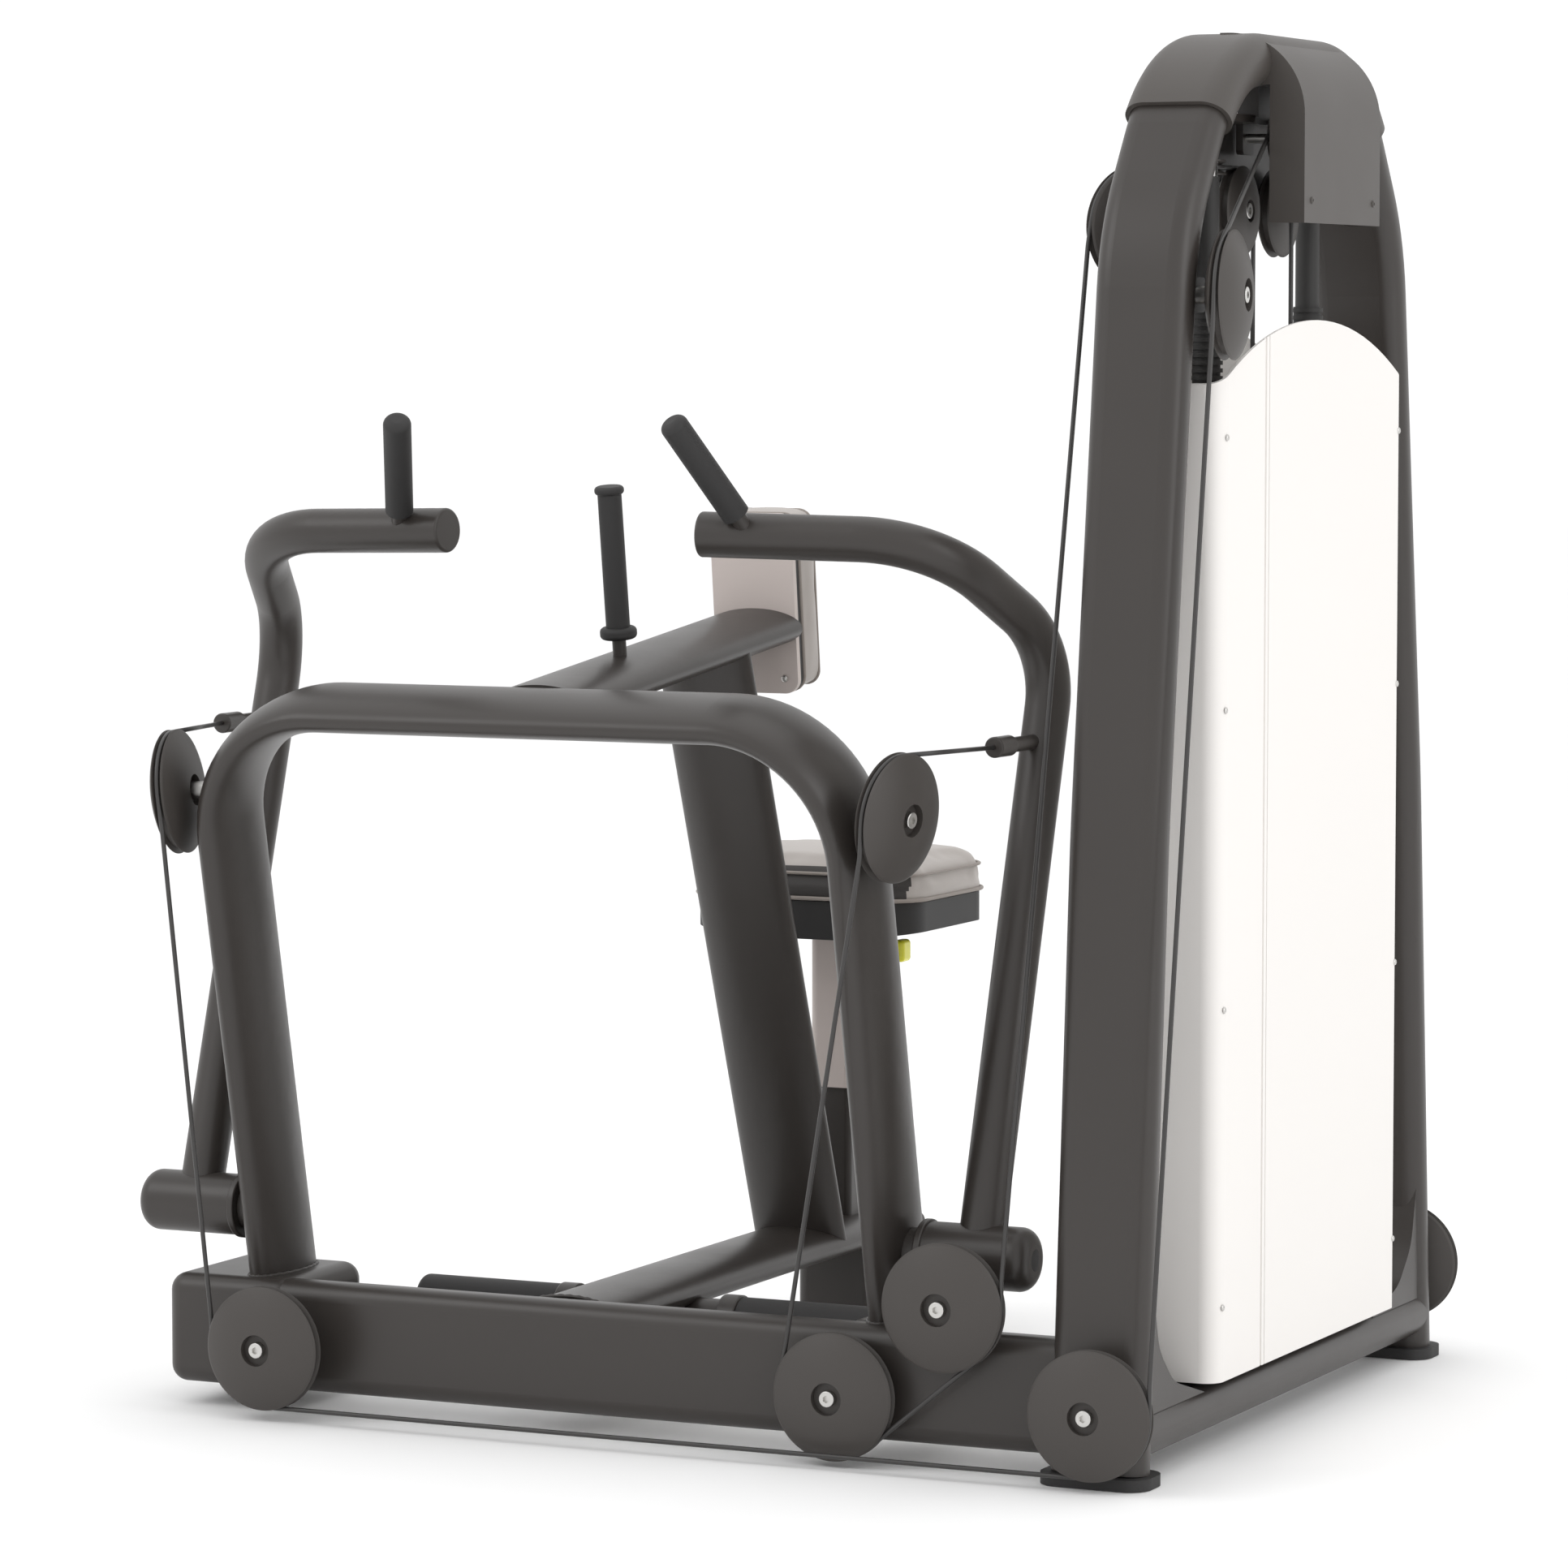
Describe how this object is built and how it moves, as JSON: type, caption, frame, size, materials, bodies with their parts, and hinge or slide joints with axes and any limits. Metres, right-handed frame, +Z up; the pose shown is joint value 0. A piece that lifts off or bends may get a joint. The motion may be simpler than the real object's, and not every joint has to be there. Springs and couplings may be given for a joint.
{
  "type": "selectorised seated row machine",
  "caption": "Seated gym row machine: weight stack in a tower, two swinging lever arms on cables, chest pad, adjustable seat and foot bar.",
  "frame": {"origin": "centre of the footprint, on the floor", "axes": "+X along the front base beam to the weight tower, +Y from the pulley side to the seat, +Z up"},
  "size_m": [1.252, 1.0616, 1.4805],
  "materials": {
    "frame_paint": "satin",
    "pulley_plastic": "matte",
    "bright_steel": "polished",
    "cable_jacket": "satin",
    "rubber_black": "matte",
    "plate_iron": "satin",
    "shroud_plastic": "matte",
    "cap_plastic": "satin",
    "upholstery": "soft",
    "pad_plate_plastic": "matte",
    "black_plastic": "matte",
    "yellow_plastic": "gloss"
  },
  "bodies": {
    "frame": {"base_beam": "frame_paint", "centre_grip": "rubber_black", "chest_pad_board": "black_plastic", "chest_pad_cover": "pad_plate_plastic", "chest_pad_cushion": "upholstery", "crown_bracket": "frame_paint", "floor_feet": "rubber_black", "foot_bar": "frame_paint", "foot_sleeves": "rubber_black", "guide_rods": "bright_steel", "hoop_frame": "frame_paint", "hub_axles": "frame_paint", "left_cable_run": "cable_jacket", "mast_tube": "frame_paint", "pulley_bolts": "bright_steel", "resting_plates": "plate_iron", "right_cable_run": "cable_jacket", "rod_stop_sleeves": "rubber_black", "seat_post": "frame_paint", "shroud_inner": "shroud_plastic", "shroud_outer": "shroud_plastic", "spine_tube": "frame_paint", "stack_buffers": "rubber_black", "tower_cap": "cap_plastic", "tower_frame": "frame_paint", "upper_beam": "frame_paint"},
    "right_arm": {"right_arm_tube": "frame_paint", "right_arm_hub": "frame_paint", "right_handle_grip": "rubber_black", "right_cable_stud": "frame_paint", "right_cable_arm_end": "cable_jacket"},
    "left_arm": {"left_arm_tube": "frame_paint", "left_arm_hub": "frame_paint", "left_handle_grip": "rubber_black", "left_cable_stud": "frame_paint", "left_cable_arm_end": "cable_jacket"},
    "stack": {"stack_top_plate": "plate_iron", "lifted_plates": "plate_iron", "selector_rod": "bright_steel", "left_cable_stack_end": "cable_jacket", "right_cable_stack_end": "cable_jacket"},
    "pin": {"selector_pin": "yellow_plastic"},
    "seat": {"seat_stem": "bright_steel", "seat_post_cover": "pad_plate_plastic", "seat_pan": "black_plastic", "seat_cushion": "upholstery"},
    "lever": {"seat_lever": "yellow_plastic"},
    "base_pulley_left_wheel": {"base_pulley_left": "pulley_plastic"},
    "base_pulley_inner_wheel": {"base_pulley_inner": "pulley_plastic"},
    "base_pulley_outer_wheel": {"base_pulley_outer": "pulley_plastic"},
    "base_pulley_tower_wheel": {"base_pulley_tower": "pulley_plastic"},
    "hoop_pulley_right_wheel": {"hoop_pulley_right": "pulley_plastic"},
    "hoop_pulley_left_wheel": {"hoop_pulley_left": "pulley_plastic"},
    "tower_rear_pulley_wheel": {"tower_rear_pulley": "pulley_plastic"},
    "tower_side_pulley_wheel": {"tower_side_pulley": "pulley_plastic"},
    "tower_back_pulley_wheel": {"tower_back_pulley": "pulley_plastic"},
    "stack_pulley_front_wheel": {"stack_pulley_front": "pulley_plastic"},
    "stack_pulley_rear_wheel": {"stack_pulley_rear": "pulley_plastic"},
    "cap_pulley_wheel": {"cap_pulley": "pulley_plastic"},
    "guide_roller_wheel": {"guide_roller": "pulley_plastic"}
  },
  "joints": [
    {"name": "stack_lift", "type": "slide", "parent": "frame", "child": "stack", "axis": [0, 0, 1], "range_m": [0, 0.345], "deforming": ["left_cable_stack_end", "right_cable_stack_end"]},
    {"name": "right_arm_swing", "type": "hinge", "parent": "frame", "child": "right_arm", "pos_m": [0.371, -0.35021, 0.214], "axis": [-1, 0, 0], "range_deg": [0, 40.5]},
    {"name": "left_arm_swing", "type": "hinge", "parent": "frame", "child": "left_arm", "pos_m": [-0.563, -0.35021, 0.214], "axis": [-1, 0, 0], "range_deg": [0, 40.5]},
    {"name": "selector_pin_pull", "type": "slide", "parent": "stack", "child": "pin", "axis": [-1, 0, 0], "range_m": [0, 0.08]},
    {"name": "seat_height", "type": "slide", "parent": "frame", "child": "seat", "axis": [0, 0, 1], "range_m": [-0.055, 0.09]},
    {"name": "seat_lever_lift", "type": "hinge", "parent": "seat", "child": "lever", "pos_m": [-0.07, 0.32379, 0.45], "axis": [0, -1, 0], "range_deg": [0, 8], "stiffness_Nm_per_rad": 2, "springref_deg": -2.86},
    {"name": "base_pulley_left_spin", "type": "hinge", "parent": "frame", "child": "base_pulley_left_wheel", "pos_m": [-0.417, -0.46321, 0.0788], "axis": [0, -1, 0], "range_deg": [-314, 0]},
    {"name": "base_pulley_inner_spin", "type": "hinge", "parent": "frame", "child": "base_pulley_inner_wheel", "pos_m": [0.247, -0.44121, 0.073], "axis": [0, -1, 0], "range_deg": [-314, 0]},
    {"name": "base_pulley_outer_spin", "type": "hinge", "parent": "frame", "child": "base_pulley_outer_wheel", "pos_m": [0.37, -0.44121, 0.174], "axis": [0, -1, 0], "range_deg": [-314, 0]},
    {"name": "base_pulley_tower_spin", "type": "hinge", "parent": "frame", "child": "base_pulley_tower_wheel", "pos_m": [0.541, -0.46321, 0.0788], "axis": [0, -1, 0], "range_deg": [-314, 0]},
    {"name": "hoop_pulley_right_spin", "type": "hinge", "parent": "frame", "child": "hoop_pulley_right_wheel", "pos_m": [0.327, -0.46221, 0.676], "axis": [0.9779, -0.1812, -0.1045], "range_deg": [-314, 0]},
    {"name": "hoop_pulley_left_spin", "type": "hinge", "parent": "frame", "child": "hoop_pulley_left_wheel", "pos_m": [-0.519, -0.46221, 0.676], "axis": [-0.9779, -0.1812, -0.1045], "range_deg": [0, 314]},
    {"name": "tower_rear_pulley_spin", "type": "hinge", "parent": "frame", "child": "tower_rear_pulley_wheel", "pos_m": [0.531, 0.51079, 0.1], "axis": [0, 1, 0], "continuous": true},
    {"name": "tower_side_pulley_spin", "type": "hinge", "parent": "frame", "child": "tower_side_pulley_wheel", "pos_m": [0.601, -0.24421, 1.206], "axis": [0.9934, 0.1149, 0], "range_deg": [0, 314]},
    {"name": "tower_back_pulley_spin", "type": "hinge", "parent": "frame", "child": "tower_back_pulley_wheel", "pos_m": [0.4745, -0.16621, 1.2767], "axis": [-0.8192, 0.5736, 0], "range_deg": [-314, 0]},
    {"name": "stack_pulley_front_spin", "type": "hinge", "parent": "frame", "child": "stack_pulley_front_wheel", "pos_m": [0.531, -0.03621, 1.296], "axis": [1, 0, 0], "range_deg": [0, 448]},
    {"name": "stack_pulley_rear_spin", "type": "hinge", "parent": "frame", "child": "stack_pulley_rear_wheel", "pos_m": [0.531, 0.08379, 1.296], "axis": [1, 0, 0], "continuous": true},
    {"name": "cap_pulley_spin", "type": "hinge", "parent": "frame", "child": "cap_pulley_wheel", "pos_m": [0.569, -0.00121, 1.373], "axis": [0.9934, 0.1149, 0], "range_deg": [0, 587]},
    {"name": "guide_roller_spin", "type": "hinge", "parent": "frame", "child": "guide_roller_wheel", "pos_m": [0.519, -0.08191, 1.3407], "axis": [0, 0, 1], "range_deg": [-1653, 0]}
  ],
  "couplings": [
    {"joint": "right_arm_swing", "follows": "stack_lift", "rad_per_m": 2.023},
    {"joint": "left_arm_swing", "follows": "stack_lift", "rad_per_m": 2.023},
    {"joint": "base_pulley_left_spin", "follows": "stack_lift", "rad_per_m": -15.625},
    {"joint": "base_pulley_inner_spin", "follows": "stack_lift", "rad_per_m": -15.625},
    {"joint": "base_pulley_outer_spin", "follows": "stack_lift", "rad_per_m": -15.625},
    {"joint": "base_pulley_tower_spin", "follows": "stack_lift", "rad_per_m": -15.625},
    {"joint": "hoop_pulley_right_spin", "follows": "stack_lift", "rad_per_m": -15.625},
    {"joint": "hoop_pulley_left_spin", "follows": "stack_lift", "rad_per_m": 15.625},
    {"joint": "tower_side_pulley_spin", "follows": "stack_lift", "rad_per_m": 15.625},
    {"joint": "tower_back_pulley_spin", "follows": "stack_lift", "rad_per_m": -15.625},
    {"joint": "stack_pulley_front_spin", "follows": "stack_lift", "rad_per_m": 22.371},
    {"joint": "cap_pulley_spin", "follows": "stack_lift", "rad_per_m": 29.412},
    {"joint": "guide_roller_spin", "follows": "stack_lift", "rad_per_m": -83.333}
  ]
}
